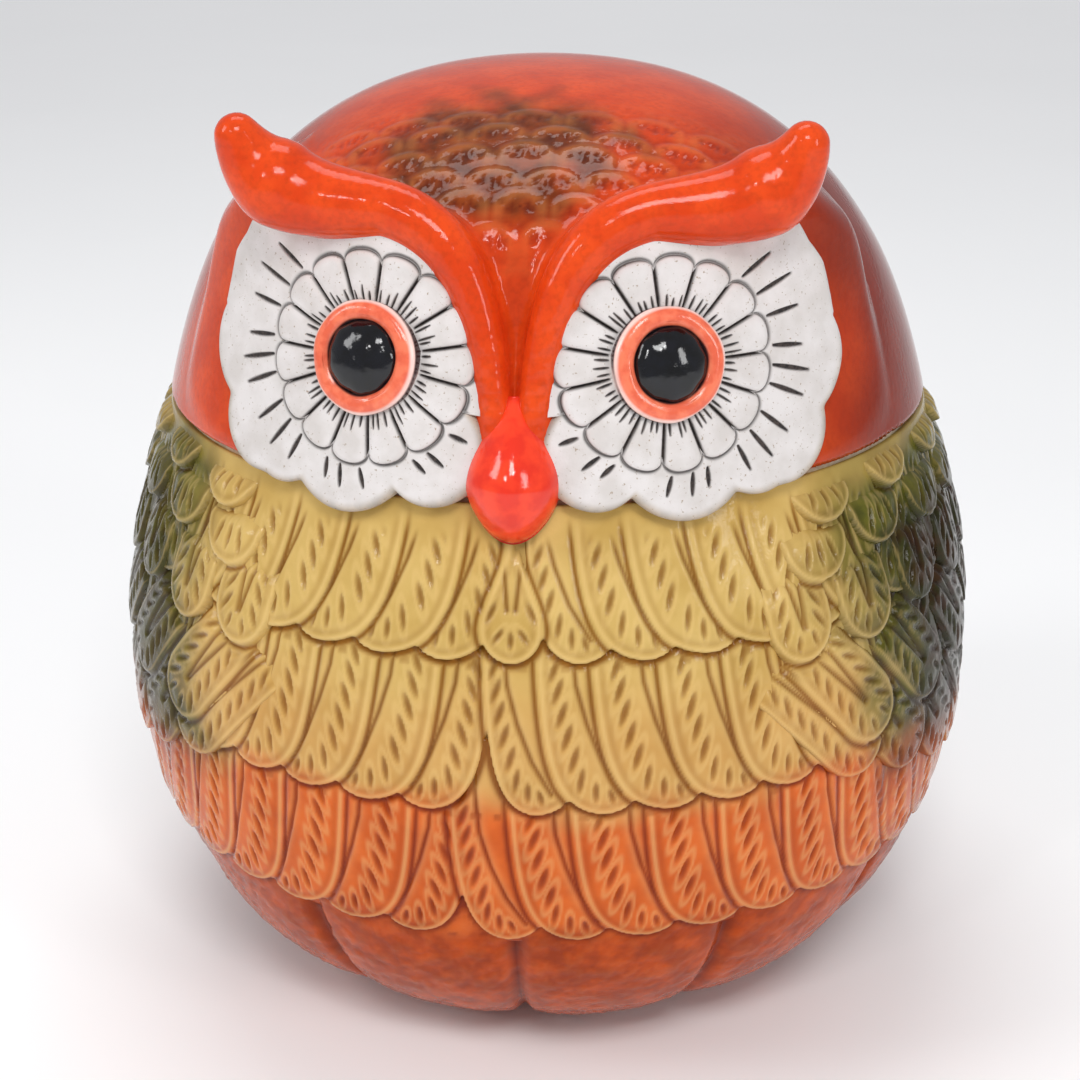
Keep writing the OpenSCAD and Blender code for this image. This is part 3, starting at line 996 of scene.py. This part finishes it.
def settle(field, p, rounds):
    """Moves points onto the surface where the field is 0."""
    for _ in range(rounds):
        g = gradient(field, p)
        move = (field(p) / np.maximum((g * g).sum(1), 0.2))[:, None] * g
        size = np.linalg.norm(move, axis=1, keepdims=True)
        p = p - move * np.minimum(1, 0.8 / np.maximum(size, 1e-9))
    return p


def sphere_mesh(subdivisions):
    """Directions and triangles of a round ball of even triangles."""
    ball = bmesh.new()
    bmesh.ops.create_icosphere(ball, subdivisions=subdivisions, radius=1)
    points = np.array([v.co for v in ball.verts])
    faces = np.array([[v.index for v in f.verts] for f in ball.faces])
    ball.free()
    return points, faces


def radial_surface(field, directions):
    """Where rays from the middle of the head leave a solid."""
    near, far = np.full(len(directions), 2.0), np.full(len(directions), 130.0)
    for _ in range(22):
        middle = (near + far) / 2
        outside = field(HEAD_MIDDLE + directions * middle[:, None]) > 0
        near, far = np.where(outside, near, middle), np.where(outside, middle, far)
    return HEAD_MIDDLE + directions * near[:, None]


def scratch_object(vertices, faces):
    mesh = bpy.data.meshes.new("scratch")
    mesh.from_pydata(np.asarray(vertices).tolist(), [], [list(map(int, f)) for f in faces])
    obj = bpy.data.objects.new("scratch", mesh)
    bpy.context.scene.collection.objects.link(obj)
    return obj


def brow_tube(side):
    """Rough closed tube along a brow, with a round end."""
    sides = 16
    along = np.gradient(BROW_LINE, axis=0)
    along /= np.linalg.norm(along, axis=1)[:, None]
    bend = np.radians([22, 45, 68])
    tip = BROW_WIDTHS[-1]
    line = np.concatenate([BROW_LINE, BROW_LINE[-1] + tip * np.outer(np.sin(bend), along[-1])])
    widths = np.concatenate([BROW_WIDTHS, tip * np.cos(bend)])
    along = np.concatenate([along, np.repeat(along[-1:], len(bend), 0)])
    across = np.cross(along, [0, 0, 1])
    across /= np.linalg.norm(across, axis=1)[:, None]
    up = np.cross(across, along)
    a = np.linspace(0, 2 * math.pi, sides, endpoint=False)
    ring = np.cos(a)[:, None, None] * across + np.sin(a)[:, None, None] * up
    points = (line + widths[:, None] * ring).transpose(1, 0, 2) * [side, 1, 1]
    rows = len(line)
    faces = grid_faces(rows, sides, close_columns=True, flip=side > 0).tolist()
    caps = [list(range(sides)), list(range((rows - 1) * sides, rows * sides))]
    return points.reshape(-1, 3), faces + caps


def slot_cutter():
    corners = [(x * SLOT_W / 2, y, SLOT_Z + z * SLOT_H / 2)
               for x in (-1, 1) for y in (SLOT_Y, SLOT_Y + 42) for z in (-1, 1)]
    return scratch_object(corners, [(0, 1, 3, 2), (4, 6, 7, 5), (0, 4, 5, 1),
                                    (2, 3, 7, 6), (0, 2, 6, 4), (1, 5, 7, 3)])


def evaluated(obj):
    """The mesh that an object has after its modifiers."""
    return obj.evaluated_get(bpy.context.evaluated_depsgraph_get()).to_mesh()


def head_mesh():
    """The whole head as one even mesh of quads: dome and face from rays, less the slot, joined
    with the brows, then settled on the field."""
    def without_brows(p):
        q = mirrored(p)
        return soft_max(plain_distance(q), HEAD_Z - q[:, 2], 1.5)

    directions, triangles = sphere_mesh(6)
    dome = scratch_object(radial_surface(without_brows, directions), triangles)
    box = slot_cutter()
    cut = dome.modifiers.new("slot", "BOOLEAN")
    cut.object, cut.operation, cut.solver = box, "DIFFERENCE", "EXACT"
    whole = [dome] + [scratch_object(*brow_tube(side)) for side in (-1, 1)]
    vertices, faces = [], []
    for obj in whole:
        mesh = evaluated(obj)
        start = len(vertices)
        vertices += [tuple(v.co) for v in mesh.vertices]
        faces += [[start + i for i in p.vertices] for p in mesh.polygons]
    joined = scratch_object(vertices, faces)
    remesh = joined.modifiers.new("even", "REMESH")
    remesh.mode, remesh.voxel_size = "VOXEL", 1.04
    mesh = evaluated(joined)
    points = np.array([v.co for v in mesh.vertices], float)
    quads = np.array([list(p.vertices) for p in mesh.polygons])
    for obj in [*whole, box, joined]:
        bpy.data.objects.remove(obj)
    return settle(head_distance, points, 5), quads


def unit_gradient(field, points):
    normals = gradient(field, points)
    return normals / np.linalg.norm(normals, axis=1)[:, None]


def thicken(points, normals, faces, depth):
    """Makes a closed plate from part of a surface, with its other side depth below."""
    used, index = np.unique(faces, return_inverse=True)
    faces = index.reshape(faces.shape)
    points, normals = points[used], normals[used]
    n = len(points)
    pairs = np.stack([faces, np.roll(faces, -1, axis=1)], -1).reshape(-1, 2)
    key, back = pairs[:, 0] * n + pairs[:, 1], pairs[:, 1] * n + pairs[:, 0]
    a, b = pairs[~np.isin(key, back)].T
    walls = np.stack([b, a, a + n, b + n], 1)
    if faces.shape[1] == 3:
        walls = np.concatenate([walls[:, :3], walls[:, [0, 2, 3]]])
    return (used, np.concatenate([points, points - depth * normals]),
            np.concatenate([faces, faces[:, ::-1] + n, walls]))


def head_zones(p):
    """Where the colours of the head's glaze lie."""
    drift, fine = waves(p, 30, 11), waves(p, 9, 12)
    x, y, z = p.T
    brow = smoothstep(3.2, 0.2, brow_distance(mirrored(p)))
    from_patch = np.hypot((x + 9) / 1.25, (y + 58) * 0.9) + 2.5 * drift + 2.5 * fine
    patch = smoothstep(27, 14, from_patch) * smoothstep(190, 197, z + 2 * drift + fine)
    # darker towards the back and the +X side: darker glaze with painted shade
    back = smoothstep(-52, 4, y + 0.5 * np.clip(x, 0, None) + 6 * drift) * smoothstep(214, 192, z)
    return {"brow": brow, "patch": 0.9 * patch * (1 - brow), "dark_glaze_and_shade": 0.85 * back * (1 - brow)}


def make_head_shell():
    """Settles the head's surface and cuts it into the shell, the face plate and the two brows."""
    points, quads = head_mesh()
    normals = unit_gradient(head_distance, points)
    a, b, c = points[quads[:, 0]], points[quads[:, 1]], points[quads[:, 2]]
    if np.einsum("ij,ij->i", np.cross(b - a, c - a), normals[quads[:, 0]]).mean() < 0:
        quads = quads[:, ::-1]
    middle = points[quads].mean(1)
    q = mirrored(middle)
    through_slot = (slot_distance(q) < 2) & (middle[:, 1] < SLOT_Y + 5)
    under = (middle[:, 2] < HEAD_Z + 0.4) & (np.hypot(middle[:, 0], middle[:, 1]) < SEAM_R - 7)
    brow = brow_distance(q) < 1.2
    mask = ~brow & (mask_distance(q) < form_distance(q) - 0.1)
    _, groove, ridge = crown_relief(points)
    zones = {"groove": groove, "ridge": ridge, **head_zones(points)}
    parts = [
        ("head_shell", ~brow & ~mask, "orange_glaze"),
        ("face_mask", mask, "orange_glaze"),
        ("brow_left", brow & (middle[:, 0] < 0), "brow_glaze"),
        ("brow_right", brow & (middle[:, 0] >= 0), "brow_glaze"),
    ]
    for name, chosen, slot in parts:
        shown = quads[chosen & ~through_slot & ~under]
        used, vertices, faces = thicken(points, normals, shown, 1.6)
        masks = {key: np.tile(values[used], 2) for key, values in zones.items()}
        piece = make_piece(f"{name}_glazed", vertices, faces, "head", slot, [name], HEAD, masks)
        both = np.concatenate([normals[used], -normals[used]])
        piece.data.normals_split_custom_set_from_vertices(both.tolist())


def make_head_lining():
    """The bare inside of the head, open below and at the slot."""
    def inside(p):
        return form_distance(p) + WALL - 0.2

    directions, triangles = sphere_mesh(5)
    points = radial_surface(inside, directions)
    middle = points[triangles].mean(1)
    q = np.abs(middle)
    at_slot = ((q[:, 0] < SLOT_W / 2 + 4) & (np.abs(q[:, 2] - SLOT_Z) < SLOT_H / 2 + 5)
               & (middle[:, 1] > 0))
    keep = (middle[:, 2] > HEAD_Z + 3) & ~at_slot
    normals = unit_gradient(inside, points)
    points[:, 2] = np.maximum(points[:, 2], HEAD_Z + 1)
    _, vertices, faces = thicken(points, normals, triangles[keep][:, ::-1], -2)
    make_piece("head_lining", vertices, faces, "head", "bare_clay", ["head_shell"], CLAY)


# ---- Eyes and beak ----

EYE_Z, EYE_R = 167, 84.8
EYE_TURN, EYE_TILT = math.radians(20.5), math.radians(14)
DISC_T, PETAL_T = 3.2, 1.2
FLOWER_R, PETALS = 22.8, 15
SQUASH = 0.92       # the flower is this much lower than wide
PUPIL_R = 7.45
DISC_MIDDLE = (2, -3)
# middles and radii of the round lobes of the disc's edge, then its smooth upper edge
DISC_LOBES = [((-15.5, -17.4), 10.5), ((3, -15.9), 15), ((19, -16.5), 11.2), ((25.5, -16), 10.8),
              ((30, -3), 12)]
DISC_TOP = [(40.1, 4), (39.1, 9.3), (37.6, 15), (33.9, 19.5), (31, 23.8), (24, 26), (16, 27),
            (-1.6, 26), (-12, 21.5), (-19, 14), (-23.5, 5), (-26, -10)]
# direction in degrees and length of each lash
LASHES = [(44, 7.0), (31, 8.2), (18, 7.0), (2, 6.6), (-8, 8.4), (-17.5, 8.0), (-32, 7.4),
          (-43, 7.2), (-53, 5.4), (-72, 3.4), (-80, 4.0), (-91, 3.4), (-120, 2.8), (-128, 3.6),
          (-142, 3.0)]


def turned(points, side):
    """Turns points from straight ahead to where the eye of that side looks."""
    c, s = math.cos(EYE_TURN), math.sin(EYE_TURN)
    x, y, z = np.moveaxis(points, -1, 0)
    return np.stack([side * (x * c - y * s), x * s + y * c, z], -1)


def on_face(u, v, h, side):
    """Points over the face round an eye: u outwards, v up, h off the surface."""
    z = EYE_Z + v
    r = FACE.radius(z) + h
    return turned(np.stack([u + 0 * r, -np.sqrt(r * r - u * u), z + 0 * r], -1), side)


def at_eye(radius, angle, h, side):
    """Points round the axis that the eyeball looks along."""
    u, v = radius * np.cos(angle), radius * np.sin(angle)
    c, s = math.cos(EYE_TILT), math.sin(EYE_TILT)
    return turned(np.stack([u, v * s - h * c - EYE_R, EYE_Z + v * c + h * s], -1), side)


def stroke(u, v, start, end, width):
    """1 inside a stroke that tapers to both ends."""
    along, gap = from_stroke(u, v, start, end)
    half = width / 2 * (0.35 + 0.65 * np.sin(math.pi * np.clip(along * 0.8 + 0.12, 0, 1)))
    return smoothstep(half + 0.14, half - 0.14, gap)


def polar(angle, radius):
    """A place on the flower, which is lower than wide."""
    return radius * math.cos(angle), SQUASH * radius * math.sin(angle)


def disc_rim(angle):
    """How far the disc's edge is from its middle: round lobes that run together, smooth above."""
    direction = np.stack([np.cos(angle), np.sin(angle)])
    rim = np.zeros(len(angle))
    for centre, radius in DISC_LOBES:
        c = np.array(centre, float) - DISC_MIDDLE
        along = c @ direction
        reach = radius ** 2 - c @ c + along ** 2
        exit_at = np.where((reach > 0) & (along > 0), along + np.sqrt(np.clip(reach, 0, None)), 0)
        rim = soft_max(rim, exit_at, 1.2)
    top = np.array(DISC_TOP, float) - DISC_MIDDLE
    turns = np.unwrap(np.arctan2(top[:, 1], top[:, 0]))
    a = np.where(angle < -0.5 * math.pi, angle + 2 * math.pi, angle)
    upper = np.interp(a, turns, np.hypot(*top.T), left=0, right=0)
    return soft_max(rim, upper, 1.5)


def petal_phase(angle):
    """-1 to 1 across each petal, with 0 in its middle."""
    return (angle * PETALS / (2 * math.pi)) % 1 * 2 - 1


def petal_rim(angle):
    """Radius of the flower's edge: a round end on each petal and a notch between."""
    return FLOWER_R - 3.0 * (1 - np.sqrt(1 - 0.97 * np.abs(petal_phase(angle)) ** 2.4))


def eye_piece(name, finish, rows, flip, slot, material, masks=None):
    """A closed piece of an eye from rows of points that close round both ways."""
    points = np.stack(rows)
    make_piece(f"{name}_{finish}", points.reshape(-1, 3),
               grid_faces(*points.shape[:2], True, True, flip),
               "head", slot, [name], material, masks)


def circle(count, first=0.0):
    """Angles of an even ring of points."""
    return np.linspace(first, first + 2 * math.pi, count, endpoint=False)


def make_disc(name, side):
    """A plate with a scalloped edge, lashes and a bed for the flower."""
    columns = 880
    angle = circle(columns, -math.pi)
    rim = disc_rim(angle)
    rim = (rim + np.roll(rim, 1) + np.roll(rim, -1)) / 3
    share = np.concatenate([np.linspace(0.15, 0.93, 98),
                            np.linspace(0.94, 1, 10)])
    radius = share[:, None] * rim
    inset = rim - radius
    u, v = DISC_MIDDLE[0] + radius * np.cos(angle), DISC_MIDDLE[1] + radius * np.sin(angle)
    ink = np.zeros(u.shape)
    for degrees, length in LASHES:
        a = math.radians(degrees)
        start, end = polar(a, FLOWER_R + 0.9), polar(a - 0.04, FLOWER_R + 1.3 + length)
        ink = np.maximum(ink, stroke(u, v, start, end, 1.0))
    flower = petal_rim(np.arctan2(v / SQUASH, u)) - np.hypot(u, v / SQUASH)
    ink = np.maximum(ink, 0.85 * bump(flower + 0.15, 0.38))
    wavy = waves(np.stack([u, v, 0 * u], -1), 13, 31 + side, 16)
    h = DISC_T - 1.5 * (1 - rounded(inset, 1.5)) + 0.12 * wavy - 0.45 * ink
    h -= 0.9 * smoothstep(0.3, 1.6, flower)
    clear = 0.8 * smoothstep(HEAD_Z, HEAD_Z - 2, EYE_Z + v[-1])     # of the jar, under the seam
    rows = [*on_face(u, v, h, side)]
    rows += [on_face(u[-1], v[-1], depth, side) for depth in (1.2, 0.6, clear - 1)]
    rows.append(on_face(u[0], v[0], -1.0, side))
    blank = np.zeros((4, columns))
    low = smoothstep(2.6, 0.4, inset) * smoothstep(4, -14, v)
    masks = {"ink": np.concatenate([ink, blank]),
             "stain": np.concatenate([0.55 * low, blank + 0.4])}
    eye_piece(name, "bisque", rows, side > 0, "white_bisque", BISQUE, masks)


def make_petals(name, side):
    """A ring of domed petals with ink between them and round the iris."""
    rng = np.random.default_rng(7 + side)
    columns = PETALS * 40
    angle = circle(columns)
    rim = petal_rim(angle)
    radius = 9 + np.linspace(0, 1, 80)[:, None] * (rim - 9)
    phase = petal_phase(angle) + 0 * radius
    gap = (1 - np.abs(phase)) * radius * math.pi / PETALS
    inset = rim - radius
    dome = rounded(gap, 1.7) * rounded(inset, 1.6) * smoothstep(9, 15, radius)
    h = DISC_T - 0.25 + (PETAL_T + 0.1) * dome * (1 - 0.22 * phase ** 2)
    h += 0.25 * smoothstep(15, 10, radius)
    u, v = radius * np.cos(angle), SQUASH * radius * np.sin(angle)
    ink = smoothstep(0.55, 0.2, gap) * smoothstep(12.2, 14, radius)
    ink = np.maximum(ink, 0.9 * smoothstep(0.45, 0.15, inset))
    for k in range(PETALS):
        for place in (-0.55, 0.0, 0.5):
            a = 2 * math.pi * (k + 0.5 + place / 2 + rng.uniform(-0.06, 0.06)) / PETALS
            end = polar(a, rng.uniform(13.8, 15.8))
            ink = np.maximum(ink, stroke(u, v, polar(a, 11.9), end, 0.55))
        a = 2 * math.pi * k / PETALS
        end = polar(a, rng.uniform(16, 19.5))
        ink = np.maximum(ink, stroke(u, v, polar(a, 12.0), end, 0.7))
    h -= 0.3 * ink
    rows = [*on_face(u, v, h, side)]
    rows += [on_face(u[i], v[i], DISC_T - 0.7, side) for i in (-1, 0)]
    eye_piece(name, "bisque", rows, side > 0, "white_bisque", BISQUE,
              {"ink": np.concatenate([ink, np.zeros((2, columns))])})


def make_iris(name, side):
    """A low rounded band, tapering at its rims and pale at the outer one (thinner glaze with a
    painted highlight), a little uneven as if by hand.
    """
    radius, h = bezier_through([(7.0, -1.5), (7.3, 1.6), (7.9, 2.5), (8.8, 2.85), (9.8, 2.8),
                                (10.7, 2.35), (11.3, 1.6), (11.5, 0.6), (11.4, -1.5)], 6)
    angle = circle(120)
    uneven = 0.14 * np.sin(3 * angle + side) + 0.1 * np.sin(7 * angle)
    rows = [at_eye(r + uneven * (r > 8.5), angle, k, side) for r, k in zip(radius, h)]
    r = radius[:, None]
    ink = smoothstep(11.35, 11.5, r + 0.3 * uneven) + smoothstep(7.9, 7.5, r - 0.6 * uneven)
    eye_piece(name, "glazed", rows, side > 0, "coral_glaze", IRIS,
              # the pale outer rim is thinner glaze with a painted highlight
              {"rim": smoothstep(10.6, 11.2, r + uneven), "ink": np.clip(ink, 0, 1)})


def make_pupil(name, side):
    """A glossy black dome with a brushed, slightly wavy edge."""
    steps = np.linspace(0.004, 1, 26)
    radius = (PUPIL_R + 0.35) * np.sin(steps * math.pi / 2)
    h = 0.6 + 4.6 * np.cos(steps * math.pi / 2) ** 0.9
    angle = circle(96)
    uneven = 0.12 * np.sin(5 * angle + 2 * side) + 0.08 * np.sin(11 * angle)
    rows = [at_eye(r * (1 + uneven / 8), angle, k, side) for r, k in zip(radius, h)]
    rows += [at_eye(r, angle, -1.5, side) for r in (PUPIL_R + 0.2 + uneven, 0.03 + 0 * angle)]
    eye_piece(name, "glazed", rows, side < 0, "black_glaze", PUPIL)


BEAK_TOP, BEAK_LEAN = (0, -83.5, 161), math.radians(12)
BEAK_CURVES = [
    [[1.8, 0], [4.4, -6], [9.3, -11.5], [9.5, -17.6]],
    [[9.5, -17.6], [9.4, -21.8], [4.8, -29.2], [0.05, -29.2]],
]


def make_beak():
    """A drop with a soft keel in front, cut clear of the jar behind."""
    radius, drop = (c[:, None] for c in chain(BEAK_CURVES, 44).T)
    angle = circle(120)
    c, s = math.cos(BEAK_LEAN), math.sin(BEAK_LEAN)
    x, y = radius * np.sin(angle), radius * np.cos(angle) * (1 + 0.10 * bump(angle - math.pi, 0.45))
    points = np.stack([x, y * c + drop * s, drop * c - y * s], -1) + BEAK_TOP
    reach = np.hypot(points[..., 0], points[..., 1])
    clear = JAR.radius(points[..., 2]) + 1.8
    push = np.where(points[..., 2] < HEAD_Z + 0.5, np.maximum(clear / reach, 1), 1)
    points[..., :2] *= push[..., None]
    faces = [grid_faces(*x.shape, close_columns=True), cap_faces(0, len(angle), flip=True),
             cap_faces(x.size - len(angle), len(angle))]
    make_piece("beak_glazed", points.reshape(-1, 3), np.concatenate(faces), "head", "red_glaze",
               ["beak"], BEAK, {"groove": 0.6 * smoothstep(2.5, 0.5, drop - drop[-1] + 0 * angle)})


def make_head():
    make_head_shell()
    make_head_lining()
    for name, side in (("left", -1), ("right", 1)):
        make_disc(f"eye_disc_{name}", side)
        make_petals(f"eye_petals_{name}", side)
        make_iris(f"eye_ring_{name}", side)
        make_pupil(f"pupil_{name}", side)
    make_beak()
    leave_bare("lid_flange")


make_head()

# ---- Floor and light ----


def make_floor():
    mesh = bpy.data.meshes.new("floor")
    size = 12.0
    mesh.from_pydata([(-size, -size, 0), (size, -size, 0), (size, size, 0), (-size, size, 0)],
                     [], [(0, 1, 2, 3)])
    floor = bpy.data.objects.new("floor", mesh)
    bpy.context.scene.collection.objects.link(floor)
    p = Paint("floor", 0.6, 0.2)
    mesh.materials.append(p.finish(p.mottle(300, (250, 250, 250), (248, 248, 248), 0.3, 0.7)))


# name, place, what it points at, width and height, power
LIGHTS = [
    ("window_front", (0.15, -1.0, 1.15), (0, 0, 0.12), (0.45, 0.4), 7.6),
    ("window_left", (-0.95, -0.45, 0.75), (0, 0, 0.12), (0.3, 0.5), 3.4),
    ("window_right", (0.9, -0.7, 0.55), (0, 0, 0.12), (0.2, 0.45), 2.5),
    ("overhead", (-0.1, 0.3, 1.3), (0, 0, 0.15), (0.8, 0.45), 4),
    ("floor_wash", (0, 2.6, 2.0), (0, 2.3, 0), (3.6, 2.2), 22),
    ("spark_left", (-0.42, -0.95, 0.72), (0, 0, 0.13), (0.05, 0.09), 0.6),
    ("spark_right", (0.34, -0.9, 0.98), (0, 0, 0.13), (0.06, 0.06), 0.6),
]


def add_lights():
    """Soft windows, two small sparks and a wash behind the owl that its glaze doesn't reflect."""
    for name, place, aim, size, power in LIGHTS:
        data = bpy.data.lights.new(name, "AREA")
        data.shape = "RECTANGLE"
        data.size, data.size_y = size
        data.energy = power
        light = bpy.data.objects.new(name, data)
        bpy.context.scene.collection.objects.link(light)
        light.location = place
        towards = Vector(aim) - Vector(place)
        light.rotation_euler = towards.to_track_quat("-Z", "Y").to_euler()
        light.visible_glossy = name != "floor_wash"


def set_world():
    bpy.context.scene.view_settings.view_transform = "Standard"
    world = bpy.data.worlds.new("studio")
    bpy.context.scene.world = world
    world.use_nodes = True
    background = world.node_tree.nodes["Background"].inputs
    background["Color"].default_value = (0.95, 0.96, 1, 1)
    background["Strength"].default_value = 0.42


make_floor()
add_lights()
set_world()
